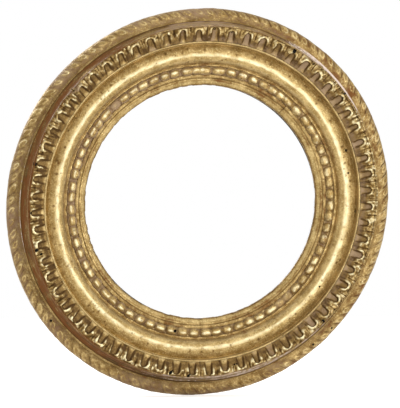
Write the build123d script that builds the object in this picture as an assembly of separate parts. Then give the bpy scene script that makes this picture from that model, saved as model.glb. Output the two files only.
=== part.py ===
from build123d import *
import os
from math import atan2, degrees

os.makedirs("parts", exist_ok=True)

# A round gilded wooden photo frame, carved with leaf tips and pearls, in millimetres.
# The ring's axis is Y and Z is up. The flat of the back is the plane y = 0 and the front
# faces -Y, so a height h above the back is y = -h. The origin is on the axis, in that plane.

# Widths of the moulding's members along the radius, from the sight edge outwards
sight_radius = 75.0
sight_slope_width = 4.6
inner_fillet_width = 2.4
pearl_channel_width = 5.0
channel_lip_width = 1.8
torus_width = 12.4
leaf_step_width = 0.6
leaf_fillet_width = 1.2
leaf_width = 10.6
cove_width = 2.8
rim_fillet_width = 1.2
rim_width = 7.4

# Depths from the back forwards to the joint between the back ring and the front ring
rebate_depth = 9.2
glass_thickness = 2.0

# Heights above that joint, from the sight edge outwards
sight_edge_height = 1.7
inner_fillet_height = 4.4
channel_floor_height = 2.6
torus_inner_height = 3.8
torus_crest_height = 9.0
torus_outer_height = 6.6
leaf_fillet_height = 12.0
leaf_bed_inner_height = 10.0
leaf_bed_outer_height = 14.2

# The torus is lopsided: its crest lies this far out from its inner foot
torus_crest_offset = 4.9
cove_hollow = 1.2

# A narrow land round the edge of the back stands behind the fittings' plane and meets the wall
back_land_rise = 0.6
back_land_width = 3.6

# The rim of the back ring: its widest point stands clear of the wall
rim_widest_height = 4.0
rim_back_inset = 1.4
rim_fillet_rise = 1.0

# The picture rebate, and the narrower step in front of it that the glass lies in
rebate_cover = 4.5
glass_step_width = 0.9
glass_clearance = 0.3

# The gummed paper strip that holds the glass in its step
tape_thickness = 0.15
tape_sight_setback = 0.6
tape_clearance = 0.2

# Each ring is glued up from quarters. Angles are anticlockwise from the right, seen from the front.
segment_count = 4
back_joint_angle = 22.5
front_joint_angle = 48.0
leaf_joint_angle = 14.0
pearl_joint_angle = 41.0

# Leaf band: applied strips of leaves with sunk tongues between them
leaves_per_segment = 16
leaf_inner_thickness = 2.2
leaf_outer_thickness = 2.6
leaf_end_lean = 0.2
tongue_width = 4.4
tongue_mouth_width = 5.2
tongue_end_margin = 1.5
tongue_floor_thickness = 0.8
vein_width = 1.8
vein_depth = 1.0
vein_length = 5.6

# Pearl string: applied strips of cushion-shaped pearls on a thin backing
pearls_per_segment = 18
pearl_length = 6.0
pearl_width = 4.4
pearl_height = 4.8
pearl_corner_radius = 1.8
pearl_crown_radius = 1.5
pearl_backing_thickness = 0.8
pearl_backing_clearance = 0.1

# Rim band: slanting gouge cuts, all alike, in the rounded rim
gouges_per_segment = 23
gouge_radius = 1.9
gouge_depth = 0.8
gouge_length = 4.6
gouge_slant_angle = 32.0
gouge_lift_angle = 48.0

# Turn buttons on the back, each on one wood screw. They are parked along the ring.
button_count = 4
first_button_angle = 45.0
button_pivot_margin = 11.5
button_length = 21.0
button_width = 7.0
button_thickness = 1.2
button_gap = 0.1
running_clearance = 0.05

# Wood screws with slotted round heads
screw_radius = 1.5
screw_length = 7.0
screw_tip_length = 2.4
screw_tip_radius = 0.3
screw_head_radius = 3.0
screw_head_height = 1.5
screw_head_round = 0.9
screw_slot_width = 0.7
screw_slot_depth = 0.7

# Hanger: a plate with a rolled loop at its lower end, and a D ring in the loop
hanger_edge_margin = 28.0
hanger_plate_width = 12.0
hanger_plate_length = 21.0
hanger_plate_thickness = 1.0
hanger_plate_corner = 4.0
hanger_loop_width = 10.0
hanger_loop_wall = 1.0
hanger_screw_spacing = 12.0
first_hanger_screw_offset = 5.5
hanger_hole_clearance = 0.2
ring_wire_radius = 1.1
ring_wire_clearance = 0.08
ring_half_width = 8.5
ring_corner_radius = 2.5

# Every cut runs past the face that it starts from by this much
overrun = 1.0

# Places along the radius, worked out from the widths
inner_fillet_radius = sight_radius + sight_slope_width
channel_inner_radius = inner_fillet_radius + inner_fillet_width
channel_outer_radius = channel_inner_radius + pearl_channel_width
torus_inner_radius = channel_outer_radius + channel_lip_width
torus_crest_radius = torus_inner_radius + torus_crest_offset
torus_outer_radius = torus_inner_radius + torus_width
leaf_fillet_radius = torus_outer_radius + leaf_step_width
leaf_inner_radius = leaf_fillet_radius + leaf_fillet_width
leaf_outer_radius = leaf_inner_radius + leaf_width
front_foot_radius = leaf_outer_radius + cove_width
rim_inner_radius = front_foot_radius + rim_fillet_width
outer_radius = rim_inner_radius + rim_width
rebate_radius = sight_radius + rebate_cover
glass_seat_radius = rebate_radius - glass_step_width
glass_radius = glass_seat_radius - glass_clearance
pearl_circle_radius = (channel_inner_radius + channel_outer_radius) / 2

# Heights above the back
joint_height = rebate_depth + glass_thickness
leaf_bed_inner = joint_height + leaf_bed_inner_height
leaf_bed_outer = joint_height + leaf_bed_outer_height
channel_floor = joint_height + channel_floor_height

# Places on the back
button_pivot_radius = rebate_radius + button_pivot_margin
hanger_pivot_radius = outer_radius - hanger_edge_margin
hanger_loop_radius = ring_wire_radius + ring_wire_clearance + hanger_loop_wall

# Turning about this axis is anticlockwise as the front is seen
ring_axis = Axis((0, 0, 0), (0, -1, 0))
full_turn = 360.0
quarter_turn = full_turn / segment_count


def at(radius, height):
    # a point of a section, drawn to the right of the axis
    return (radius, -height)


def turned(shape, angle):
    return shape.rotate(ring_axis, angle)


def quarter_of(edges):
    # one quarter of a ring, from the edges of its section
    return revolve(make_face(edges), ring_axis, quarter_turn)


def place_round(shape, count):
    # copies at equal steps over a quarter, each in the middle of its own step
    step = quarter_turn / count
    return [turned(shape, (number + 1 / 2) * step) for number in range(count)]


def write_quarters(shape, name, joint_angle):
    for number in range(segment_count):
        piece = turned(shape, joint_angle + number * quarter_turn)
        export_step(piece, f"parts/{name}_{number + 1}.step")


# The back ring: a flat back with its land, a quarter-round rim and a small fillet outside,
# the picture rebate and the glass step inside

def back_ring_section():
    edge_radius = outer_radius - rim_back_inset
    land_radius = edge_radius - back_land_width
    widest = at(outer_radius, rim_widest_height)
    rim_top = at(rim_inner_radius, joint_height - rim_fillet_rise)
    return [
        Polyline(
            at(rebate_radius, 0),
            at(land_radius, 0),
            at(land_radius, -back_land_rise),
            at(edge_radius, -back_land_rise),
            widest,
        ),
        TangentArc(widest, rim_top, tangent=(0, -1)),
        Polyline(
            rim_top,
            at(rim_inner_radius, joint_height),
            at(glass_seat_radius, joint_height),
            at(glass_seat_radius, rebate_depth),
            at(rebate_radius, rebate_depth),
            at(rebate_radius, 0),
        ),
    ]


def rim_gouge():
    # a round-bottomed gouge cut, slanting across the rim at the right of the ring
    middle_radius = rim_inner_radius + rim_width / 2
    middle_height = (rim_widest_height + joint_height - rim_fillet_rise) / 2
    cutter = Cylinder(gouge_radius, gouge_length)
    cutter = Pos(0, 0, gouge_radius - gouge_depth) * Rot(0, 90, 0) * cutter
    cutter = Rot(0, 0, gouge_slant_angle) * cutter
    return fit_on_slope(cutter, middle_radius + gouge_depth, middle_height + gouge_depth, gouge_lift_angle)


def fit_on_slope(shape, radius, height, slope_angle):
    # a shape drawn about the origin, with X out along the radius and Z off the surface,
    # is set on the front at the right of the ring and tipped by the surface's slope
    facing_front = Rot(90, 0, 0) * shape
    return Pos(radius, -height, 0) * Rot(0, 0, slope_angle) * facing_front


def build_back_ring(screw_holes):
    plain = quarter_of(back_ring_section())
    carved = plain - place_round(rim_gouge(), gouges_per_segment)
    for number in range(segment_count):
        piece = turned(carved, back_joint_angle + number * quarter_turn) - screw_holes
        export_step(piece, f"parts/back_ring_{number + 1}.step")


# The front ring: from the sight slope out to the cove that meets the rim

def front_ring_section():
    foot = at(front_foot_radius, joint_height)
    cove_top = at(leaf_outer_radius, leaf_bed_outer)
    cove_middle_radius = (front_foot_radius + leaf_outer_radius) / 2 - cove_hollow
    cove_middle = at(cove_middle_radius, (joint_height + leaf_bed_outer) / 2)
    torus_outer = at(torus_outer_radius, joint_height + torus_outer_height)
    torus_crest = at(torus_crest_radius, joint_height + torus_crest_height)
    torus_inner = at(torus_inner_radius, joint_height + torus_inner_height)
    return [
        Line(at(sight_radius, joint_height), foot),
        ThreePointArc(foot, cove_middle, cove_top),
        Polyline(
            cove_top,
            at(leaf_inner_radius, leaf_bed_inner),
            at(leaf_inner_radius, joint_height + leaf_fillet_height),
            at(leaf_fillet_radius, joint_height + leaf_fillet_height),
            torus_outer,
        ),
        TangentArc(torus_crest, torus_outer, tangent=(1, 0)),
        TangentArc(torus_crest, torus_inner, tangent=(-1, 0)),
        Polyline(
            torus_inner,
            at(channel_outer_radius, joint_height + torus_inner_height),
            at(channel_outer_radius, channel_floor),
            at(channel_inner_radius, channel_floor),
            at(channel_inner_radius, joint_height + inner_fillet_height),
            at(inner_fillet_radius, joint_height + inner_fillet_height),
            at(sight_radius, joint_height + sight_edge_height),
            at(sight_radius, joint_height),
        ),
    ]


# The leaf band: a strip on the sloping bed, with a sunk tongue between each two leaves
# and a short vein that forks each leaf at its outer end

def leaf_band():
    inner_top = leaf_bed_inner + leaf_inner_thickness
    outer_top = leaf_bed_outer + leaf_outer_thickness
    strip = quarter_of([
        Polyline(
            at(leaf_inner_radius, leaf_bed_inner),
            at(leaf_outer_radius, leaf_bed_outer),
            at(leaf_outer_radius - leaf_end_lean, outer_top),
            at(leaf_inner_radius, inner_top),
            at(leaf_inner_radius, leaf_bed_inner),
        )
    ])
    slope_angle = -degrees(atan2(outer_top - inner_top, leaf_width))
    step = quarter_turn / leaves_per_segment
    tongue = fit_on_slope(tongue_cutter(), leaf_inner_radius, leaf_bed_inner, slope_angle)
    vein = fit_on_slope(vein_cutter(), leaf_outer_radius, outer_top, slope_angle)
    tongues = [turned(tongue, number * step) for number in range(leaves_per_segment + 1)]
    return strip - tongues - place_round(vein, leaves_per_segment)


def tongue_cutter():
    # seen from the front: wide at the mouth, round at the outer end, flat underneath
    round_radius = tongue_width / 2
    round_centre = leaf_width - tongue_end_margin - round_radius
    mouth = -overrun
    outline = make_face([
        Polyline(
            (round_centre, -round_radius),
            (mouth, -tongue_mouth_width / 2),
            (mouth, tongue_mouth_width / 2),
            (round_centre, round_radius),
        ),
        ThreePointArc(
            (round_centre, -round_radius),
            (round_centre + round_radius, 0),
            (round_centre, round_radius),
        ),
    ])
    cutter_height = leaf_inner_thickness + leaf_outer_thickness + overrun
    return extrude(Pos(0, 0, tongue_floor_thickness) * outline, cutter_height, dir=(0, 0, 1))


def vein_cutter():
    # a V groove that runs in from the outer end of the leaf and rises to nothing
    fork = [
        (overrun, -vein_width / 2, 0),
        (overrun, vein_width / 2, 0),
        (overrun, 0, -vein_depth),
        (-vein_length, 0, 0),
    ]
    faces = [make_face(Polyline(*[fork[i] for i in trio], close=True)) for trio in
             ((0, 1, 2), (0, 1, 3), (1, 2, 3), (0, 2, 3))]
    groove = Solid(Shell(faces))
    lid = extrude(make_face(Polyline(fork[0], fork[1], fork[3], close=True)), overrun, dir=(0, 0, 1))
    return groove + lid


# The pearl string: cushions on a thin backing that lies in the channel

def pearl_string():
    backing_half_width = pearl_channel_width / 2 - pearl_backing_clearance
    low = pearl_circle_radius - backing_half_width
    high = pearl_circle_radius + backing_half_width
    backing_top = channel_floor + pearl_backing_thickness
    backing = quarter_of([
        Polyline(
            at(low, channel_floor),
            at(high, channel_floor),
            at(high, backing_top),
            at(low, backing_top),
            at(low, channel_floor),
        )
    ])
    pearl = Box(pearl_width, pearl_length, pearl_height, align=(Align.CENTER, Align.CENTER, Align.MIN))
    pearl = fillet(pearl.edges().filter_by(Axis.Z), pearl_corner_radius)
    pearl = fillet(pearl.faces().sort_by(Axis.Z)[-1].edges(), pearl_crown_radius)
    pearl = fit_on_slope(pearl, pearl_circle_radius, channel_floor, 0)
    return backing + place_round(pearl, pearls_per_segment)


# The glass, and the paper strip that laps from its edge on to the wood

def disc(radius, low, high):
    # a round plate about the axis, between two heights above the back
    return Pos(0, -(low + high) / 2, 0) * Rot(90, 0, 0) * Cylinder(radius, high - low)


def glass_pane():
    return disc(glass_radius, rebate_depth, joint_height)


def glass_tape():
    low = rebate_depth - tape_thickness
    strip = disc(rebate_radius - tape_clearance, low, rebate_depth)
    return strip - disc(sight_radius + tape_sight_setback, low - overrun, rebate_depth + overrun)


# Wood screws: drawn with the head's underside at the origin and the head towards +Z

def screw_shank():
    straight = screw_length - screw_tip_length
    shank = Pos(0, 0, -straight / 2) * Cylinder(screw_radius, straight)
    tip_middle = -straight - screw_tip_length / 2
    return shank + Pos(0, 0, tip_middle) * Cone(screw_tip_radius, screw_radius, screw_tip_length)


def screw():
    head = Pos(0, 0, screw_head_height / 2) * Cylinder(screw_head_radius, screw_head_height)
    head = fillet(head.faces().sort_by(Axis.Z)[-1].edges(), screw_head_round)
    slot_length = screw_head_radius * 2 + overrun
    slot = Box(slot_length, screw_slot_width, screw_slot_depth, align=(Align.CENTER, Align.CENTER, Align.MAX))
    return head + screw_shank() - Pos(0, 0, screw_head_height) * slot


def on_back(shape, x, z, standoff):
    # a shape drawn with Z off the surface is set on the back of the frame
    return Pos(x, standoff, z) * Rot(-90, 0, 0) * shape


def button_seat():
    return button_gap + button_thickness + button_gap


def round_buttons(shape):
    return [
        turned(shape, first_button_angle + number * full_turn / button_count)
        for number in range(button_count)
    ]


def turn_button():
    # drawn about its pivot, with the long arm along the ring
    arm = button_length - button_width
    plate = extrude(SlotCenterToCenter(arm, button_width), button_thickness)
    plate = fillet(plate.faces().sort_by(Axis.Z)[-1].edges(), button_thickness / 4)
    plate = Rot(0, 0, 90) * Pos(arm / 2, 0, 0) * plate
    hole = Cylinder(screw_radius + running_clearance, button_thickness * 2 + overrun)
    return on_back(plate - hole, button_pivot_radius, 0, button_gap)


# The hanger at the top: its plate lies on the wood and curls round the ring's bar

def hanger_screw_places():
    first = hanger_pivot_radius + first_hanger_screw_offset
    return [first, first + hanger_screw_spacing]


def hanger_plate():
    middle = hanger_plate_length / 2
    plate = extrude(RectangleRounded(hanger_plate_width, hanger_plate_length, hanger_plate_corner),
                    hanger_plate_thickness)
    plate = on_back(plate, 0, hanger_pivot_radius + middle, 0)
    lower_half = Box(hanger_loop_width, hanger_plate_thickness, middle)
    plate += Pos(0, hanger_plate_thickness / 2, hanger_pivot_radius + middle / 2) * lower_half
    loop_place = Pos(0, hanger_loop_radius, hanger_pivot_radius) * Rot(0, 90, 0)
    plate += loop_place * Cylinder(hanger_loop_radius, hanger_loop_width)
    plate -= loop_place * Cylinder(hanger_loop_radius - hanger_loop_wall, hanger_loop_width + overrun)
    for place in hanger_screw_places():
        hole = Cylinder(screw_radius + hanger_hole_clearance, hanger_plate_thickness * 2 + overrun)
        plate -= on_back(hole, 0, place, hanger_plate_thickness / 2)
    return plate


def hanging_ring():
    # a D of round wire: a straight bar, two tight corners and a half-round bow hanging down
    wire = Circle(ring_wire_radius)
    bar_half = ring_half_width - ring_corner_radius
    bar = Rot(0, 90, 0) * Cylinder(ring_wire_radius, bar_half * 2)
    bow_section = Pos(ring_half_width, -ring_corner_radius, 0) * Rot(90, 0, 0) * wire
    bow_axis = Axis((0, -ring_corner_radius, 0), (0, 0, -1))
    bow = revolve(bow_section, bow_axis, full_turn / 2)
    corner_section = Pos(bar_half, 0, 0) * Rot(0, 90, 0) * wire
    corner_axis = Axis((bar_half, -ring_corner_radius, 0), (0, 0, -1))
    corner = revolve(corner_section, corner_axis, full_turn / 4)
    outline = bar + corner + mirror(corner, Plane.YZ) + bow
    return Pos(0, hanger_loop_radius, hanger_pivot_radius) * Rot(90, 0, 0) * outline


button_screws = round_buttons(on_back(screw(), button_pivot_radius, 0, button_seat()))
button_holes = round_buttons(on_back(screw_shank(), button_pivot_radius, 0, button_seat()))
hanger_screws = [on_back(screw(), 0, z, hanger_plate_thickness) for z in hanger_screw_places()]
hanger_holes = [on_back(screw_shank(), 0, z, hanger_plate_thickness) for z in hanger_screw_places()]

build_back_ring(button_holes + hanger_holes)
write_quarters(quarter_of(front_ring_section()), "front_ring", front_joint_angle)
write_quarters(leaf_band(), "leaf_band", leaf_joint_angle)
write_quarters(pearl_string(), "pearl_string", pearl_joint_angle)
export_step(glass_pane(), "parts/glass_pane.step")
export_step(glass_tape(), "parts/glass_tape.step")
for number, button in enumerate(round_buttons(turn_button())):
    export_step(button, f"parts/turn_button_{number + 1}.step")
export_step(Compound(children=button_screws), "parts/button_screws.step")
export_step(hanger_plate(), "parts/hanger_plate.step")
export_step(Compound(children=hanger_screws), "parts/hanger_screws.step")
export_step(hanging_ring(), "parts/hanging_ring.step")
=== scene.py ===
import math

import bpy
import numpy as np
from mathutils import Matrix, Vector


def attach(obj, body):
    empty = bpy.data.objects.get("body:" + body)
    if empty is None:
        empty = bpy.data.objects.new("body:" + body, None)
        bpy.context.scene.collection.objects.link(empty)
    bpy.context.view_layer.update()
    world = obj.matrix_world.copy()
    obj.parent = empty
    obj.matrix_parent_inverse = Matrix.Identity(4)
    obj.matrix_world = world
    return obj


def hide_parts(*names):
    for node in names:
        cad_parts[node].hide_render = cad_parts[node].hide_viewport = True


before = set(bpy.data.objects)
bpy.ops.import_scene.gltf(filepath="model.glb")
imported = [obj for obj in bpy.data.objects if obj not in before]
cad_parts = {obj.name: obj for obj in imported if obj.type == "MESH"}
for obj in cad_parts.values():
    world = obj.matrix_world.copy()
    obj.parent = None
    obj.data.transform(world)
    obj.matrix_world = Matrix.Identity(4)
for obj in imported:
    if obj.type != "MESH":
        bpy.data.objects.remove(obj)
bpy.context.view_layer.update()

# An old round photo frame in carved and gilded wood. The ring's axis is Y and the front faces -Y.
# Lengths are millimetres: r is the distance from the axis and h the height above the back.
# Places round the ring are in degrees, anticlockwise from the right, as the front is seen. A spot is
# such a place and the width over which what lies there fades out, in degrees too. Other pairs are
# where something lies and its width, where a soft step begins and ends, or an amount and its spread.
mm = 0.001
fullTurn = 2 * math.pi
quarterNames = ("1", "2", "3", "4")


# Small tools for arrays

def smooth(low, high, value):
    # 0 below low, 1 above high and a soft step between them
    share = np.clip((value - low) / (high - low), 0, 1)
    return share * share * (3 - 2 * share)


def between(start, end, value):
    # 1 inside and 0 outside, with a soft step over the pair at the start and the pair at the end
    return smooth(*start, value) * (1 - smooth(*end, value))


def hill(distance, width):
    # 1 where the distance is 0, and nothing well beyond the width
    return np.exp(-(distance / width) ** 2)


def degreesFrom(angle, place):
    # signed distance round the ring from a place
    return (np.degrees(angle) - place + 180) % 360 - 180


def near(angle, spot):
    place, width = spot
    return hill(degreesFrom(angle, place), width)


def unlike(seed, count, columns, number):
    # how a carved unit differs from its neighbours: some random numbers from -1 to 1 for each of them
    draws = np.random.default_rng(seed).uniform(-1, 1, (count, columns))
    return np.moveaxis(draws[number], -1, 0)


noiseTable = {"radius": 100, "rows": 64}


def wander(angle, along, seed, patchRound, patchAcross):
    # soft random heights from -1 to 1, in patches of so many millimetres round and across the ring
    columns = round(fullTurn * noiseTable["radius"] / patchRound)
    table = np.random.default_rng(seed).uniform(-1, 1, (columns, noiseTable["rows"]))
    placeA, placeB = np.broadcast_arrays(angle / fullTurn * columns, along / patchAcross)
    lowA, lowB = np.floor(placeA).astype(int), np.floor(placeB).astype(int)
    shareA, shareB = smooth(0, 1, placeA - lowA), smooth(0, 1, placeB - lowB)
    total = 0
    for stepA, weightA in ((0, 1 - shareA), (1, shareA)):
        for stepB, weightB in ((0, 1 - shareB), (1, shareB)):
            cell = table[(lowA + stepA) % columns, (lowB + stepB) % noiseTable["rows"]]
            total = total + cell * weightA * weightB
    return total


# Outlines: a closed section in named stretches. A row of it is the stretch's name, its start and end
# as (r, h), how far it bows out to the right of its way, and how many steps it is cut into.

def stretchPoints(start, end, rise, steps):
    start, end = np.array(start, float), np.array(end, float)
    if not rise:
        share = np.linspace(0, 1, steps + 1)[:, None]
        return start * (1 - share) + end * share
    chord = end - start
    length = np.hypot(*chord)
    right = np.array([chord[1], -chord[0]]) / length
    half = 2 * math.atan(2 * rise / length)
    radius = length / 2 / math.sin(half)
    turn = np.linspace(-half, half, steps + 1)[:, None]
    middle = (start + end) / 2
    return middle + chord / length * radius * np.sin(turn) + right * radius * (np.cos(turn) - math.cos(half))


def outlineOf(rows):
    # joins the stretches, leaves out doubled points and finds each point's way outwards
    stretches = [(name, stretchPoints(*numbers)) for name, *numbers in rows]
    kept = []
    for number, (name, stretch) in enumerate(stretches):
        nextStart = stretches[(number + 1) % len(stretches)][1][0]
        whole = not np.allclose(stretch[-1], nextStart)
        share = np.linspace(0, 1, len(stretch))
        kept.append((name, stretch, share) if whole else (name, stretch[:-1], share[:-1]))
    points = np.vstack([stretch for name, stretch, share in kept])
    ahead = np.roll(points, -1, axis=0) - points
    ahead = ahead / np.hypot(ahead[:, 0], ahead[:, 1])[:, None]
    way = ahead + np.roll(ahead, 1, axis=0)
    way = way / np.hypot(way[:, 0], way[:, 1])[:, None]
    steps = np.hypot(np.diff(points[:, 0]), np.diff(points[:, 1]))
    return {
        "points": points,
        "outward": np.stack([way[:, 1], -way[:, 0]], axis=1),
        "names": np.concatenate([[name] * len(share) for name, stretch, share in kept]),
        "share": np.concatenate([share for name, stretch, share in kept]),
        "along": np.concatenate([[0], np.cumsum(steps)]),
    }


def on(outline, *names):
    # 1 on the stretches named and 0 on the rest
    return np.isin(outline["names"], names)[None, :].astype(float)


# Flight holes of furniture beetle: degrees round, distance from the axis and width. Those in the
# steep cove have their height instead of the distance.

flightHoles = [
    (36.2, 110.3, 1.5), (36.7, 113.2, 1.7), (51.3, 111.2, 1.3), (59.2, 111.0, 2.3), (81.7, 109.1, 1.0),
    (87.5, 110.2, 1.2), (107.2, 109.9, 1.0), (139.9, 112.0, 2.1), (166.7, 112.4, 2.4), (182.7, 111.4, 1.8),
    (195.1, 111.0, 2.0), (196.8, 108.6, 1.3), (228.0, 110.6, 1.8), (259.8, 110.6, 2.0), (260.4, 109.7, 1.6),
    (265.8, 111.6, 1.5), (266.3, 110.7, 1.4), (281.8, 107.0, 1.2), (282.6, 107.2, 1.2), (315.2, 111.1, 2.3),
    (355.4, 101.6, 2.0), (301.5, 101.8, 1.4), (18.5, 99.2, 1.6), (10.0, 97.0, 1.2), (324.0, 96.0, 1.2),
    (259.0, 84.6, 2.0), (218.0, 121.0, 1.6), (309.0, 121.5, 1.5), (316.5, 122.0, 1.4),
]
coveHoles = [(279.5, 19.0, 1.6), (298.5, 22.5, 1.4), (36.0, 20.5, 1.6), (41.5, 17.0, 1.3)]
coveRadius = 114.5
holeEdge = (0.38, 0.62)   # the wall of a hole falls away between these shares of its width


def hollow(angle, place, radius, aside, width):
    # 1 inside a hole and 0 outside it. Aside is how far along the section the hole's middle is.
    gap = np.hypot(np.radians(degreesFrom(angle, place)) * radius, aside)
    return 1 - smooth(width * holeEdge[0], width * holeEdge[1], gap)


def holesIn(angle, outline, ring):
    r = outline["points"][:, 0][None, :]
    nearest, farthest = ring["holesBetween"]
    inside = np.zeros(np.broadcast(angle, r).shape)
    for place, distance, width in flightHoles:
        if nearest <= distance <= farthest:
            inside = np.maximum(inside, hollow(angle, place, distance, r - distance, width))
    return inside * on(outline, *ring["pierced"])


# The cove, and the edge of the leaves beside it, is pale at the upper right, the top and the bottom: partly
# worn, and partly a painted highlight

paleSpots = [(45, 26, 1.0), (90, 26, 0.95), (286, 38, 1.0)]


def paleAt(angle):
    return np.maximum.reduce([most * near(angle, (place, width)) for place, width, most in paleSpots])


# Relief and wear are sums of masks. In a piece's tables the words of a row are masks, which are
# multiplied together and by the row's number: millimetres of relief, or the strength of a mark.

def masksOf(ring, outline, angle):
    # a mask for each stretch, each rise (a step along a stretch, in shares of it), each noise (seed,
    # patch round and patch across) and each spot of the piece
    masks = {"all": 1.0, "hole": holesIn(angle, outline, ring), "pale": paleAt(angle)}
    for name, *numbers in ring["section"]:
        masks[name] = on(outline, name)
    for word, limits in ring.get("rises", {}).items():
        masks[word] = smooth(*limits, outline["share"][None, :])
    for word, numbers in ring["noise"].items():
        masks[word] = wander(angle, outline["along"], *numbers)
    for word, spot in ring["spots"].items():
        masks[word] = near(angle, spot)
    return masks


def summed(rows, masks):
    return sum(much * math.prod(masks[word] for word in words.split()) for words, much in rows.items())


# The wood has shrunk across its grain, so the ring is a little oval, longer towards the upper right

age = {"ovalAtSight": 0.013, "ovalAtRim": 0.022, "sightRadius": 75.0, "rimRadius": 125.0,
       "ovalWithin": 28, "shrink": 0.9982}


def agedPlace(x, z, r, trueBelow):
    # the picture rebate stays round, because the glass and the picture are
    share = (r - age["sightRadius"]) / (age["rimRadius"] - age["sightRadius"])
    oval = age["ovalAtSight"] + (age["ovalAtRim"] - age["ovalAtSight"]) * share
    if trueBelow:
        oval = oval * smooth(trueBelow, trueBelow + age["ovalWithin"], r)
    return age["shrink"] * (x + oval * z), age["shrink"] * (z + oval * x)


# Meshes: an outline swept through a quarter turn and pushed in or out by the carving

def sweptQuarter(name, outline, angles, lift, marks, trueBelow):
    count, steps = len(outline["points"]), len(angles)
    r = outline["points"][:, 0] + lift * outline["outward"][:, 0]
    h = outline["points"][:, 1] + lift * outline["outward"][:, 1]
    x, z = agedPlace(r * np.cos(angles)[:, None], r * np.sin(angles)[:, None], r, trueBelow)
    places = np.stack([x, -h, z], axis=2).reshape(-1, 3) * mm
    row, column = np.meshgrid(np.arange(steps - 1) * count, np.arange(count), indexing="ij")
    after = (column + 1) % count
    quads = np.stack([row + column, row + after, row + count + after, row + count + column], axis=2)
    first, last = list(range(count)), list(range((steps - 1) * count, steps * count))
    mesh = bpy.data.meshes.new(name)
    mesh.from_pydata(places.tolist(), [], quads.reshape(-1, 4).tolist() + [first[::-1], last])
    mesh.polygons.foreach_set("use_smooth", np.ones(len(mesh.polygons), bool))
    for word, values in marks.items():
        layer = mesh.attributes.new(word, "FLOAT", "POINT")
        layer.data.foreach_set("value", np.broadcast_to(values, (steps, count)).astype(np.float32).ravel())
    # the cut ends are sharp, so that the shading runs on across the joint to the next quarter
    pairs = np.empty(len(mesh.edges) * 2, np.int32)
    mesh.edges.foreach_get("vertices", pairs)
    pairs = pairs.reshape(-1, 2)
    atEnd = (pairs < count).all(axis=1) | (pairs >= (steps - 1) * count).all(axis=1)
    mesh.attributes.new("sharp_edge", "BOOLEAN", "EDGE").data.foreach_set("value", atEnd)
    piece = bpy.data.objects.new(name, mesh)
    bpy.context.scene.collection.objects.link(piece)
    return piece


# Materials

def linear(hexColour):
    # sRGB hex to the linear values that the shaders take
    channels = [int(hexColour[i:i + 2], 16) / 255 for i in (1, 3, 5)]
    return tuple(c / 12.92 if c <= 0.04045 else ((c + 0.055) / 1.055) ** 2.4 for c in channels) + (1.0,)


def perMetre(patch):
    # the noise scale whose patches are about this many millimetres
    return 1 / (patch * mm)


def newMaterial(name):
    material = bpy.data.materials.new(name)
    material.use_nodes = True
    material.node_tree.nodes.clear()
    return material, material.node_tree


def addNode(tree, kind, output, inputs, **settings):
    # a node with its settings and its links, and the socket that the next node takes
    made = tree.nodes.new(kind)
    for key, value in settings.items():
        setattr(made, key, value)
    for key, value in inputs.items():
        if isinstance(value, bpy.types.NodeSocket):
            tree.links.new(value, made.inputs[key])
        else:
            made.inputs[key].default_value = value
    return made.outputs[output] if made.outputs else None


def addNoise(tree, place, patch, detail, rough=0.5):
    return addNode(tree, "ShaderNodeTexNoise", "Fac", {
        "Vector": place, "Scale": perMetre(patch), "Detail": detail, "Roughness": rough})


def addMath(tree, operation, *values, clamped=False):
    return addNode(tree, "ShaderNodeMath", 0, dict(enumerate(values)), operation=operation, use_clamp=clamped)


def addStep(tree, value, low, high, most=1.0):
    # a soft step from 0 below low to the most above high
    return addNode(tree, "ShaderNodeMapRange", "Result", {
        "Value": value, "From Min": low, "From Max": high, "To Max": most}, interpolation_type="SMOOTHSTEP")


def addRange(tree, value, start, end, low=0.0, high=1.0):
    # runs evenly from start, where the value is low, to end, where it is high
    return addNode(tree, "ShaderNodeMapRange", "Result", {
        "Value": value, "From Min": low, "From Max": high, "To Min": start, "To Max": end})


def addMix(tree, share, under, over):
    # sockets 6 and 7 are the colours that go in, and 2 the one that comes out
    return addNode(tree, "ShaderNodeMix", 2, {0: share, 6: under, 7: over}, data_type="RGBA")


def addBump(tree, height, strength, depth):
    return addNode(tree, "ShaderNodeBump", "Normal", {
        "Height": height, "Strength": strength, "Distance": depth * mm})


def addSurface(tree, inputs):
    surface = addNode(tree, "ShaderNodeBsdfPrincipled", "BSDF", inputs)
    addNode(tree, "ShaderNodeOutputMaterial", 0, {"Surface": surface})


# Water gilding on carved lime wood: gold leaf over red clay and a chalk ground, toned and rubbed.
# The eye gets a soft satin gold with fine dark pits, brighter where it is worn by rubbing and where
# highlights are painted, ochre-brown where dirt and painted shade lie in the hollows, red-brown where the
# leaf has gone and mauve-grey where the clay has too.

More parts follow.
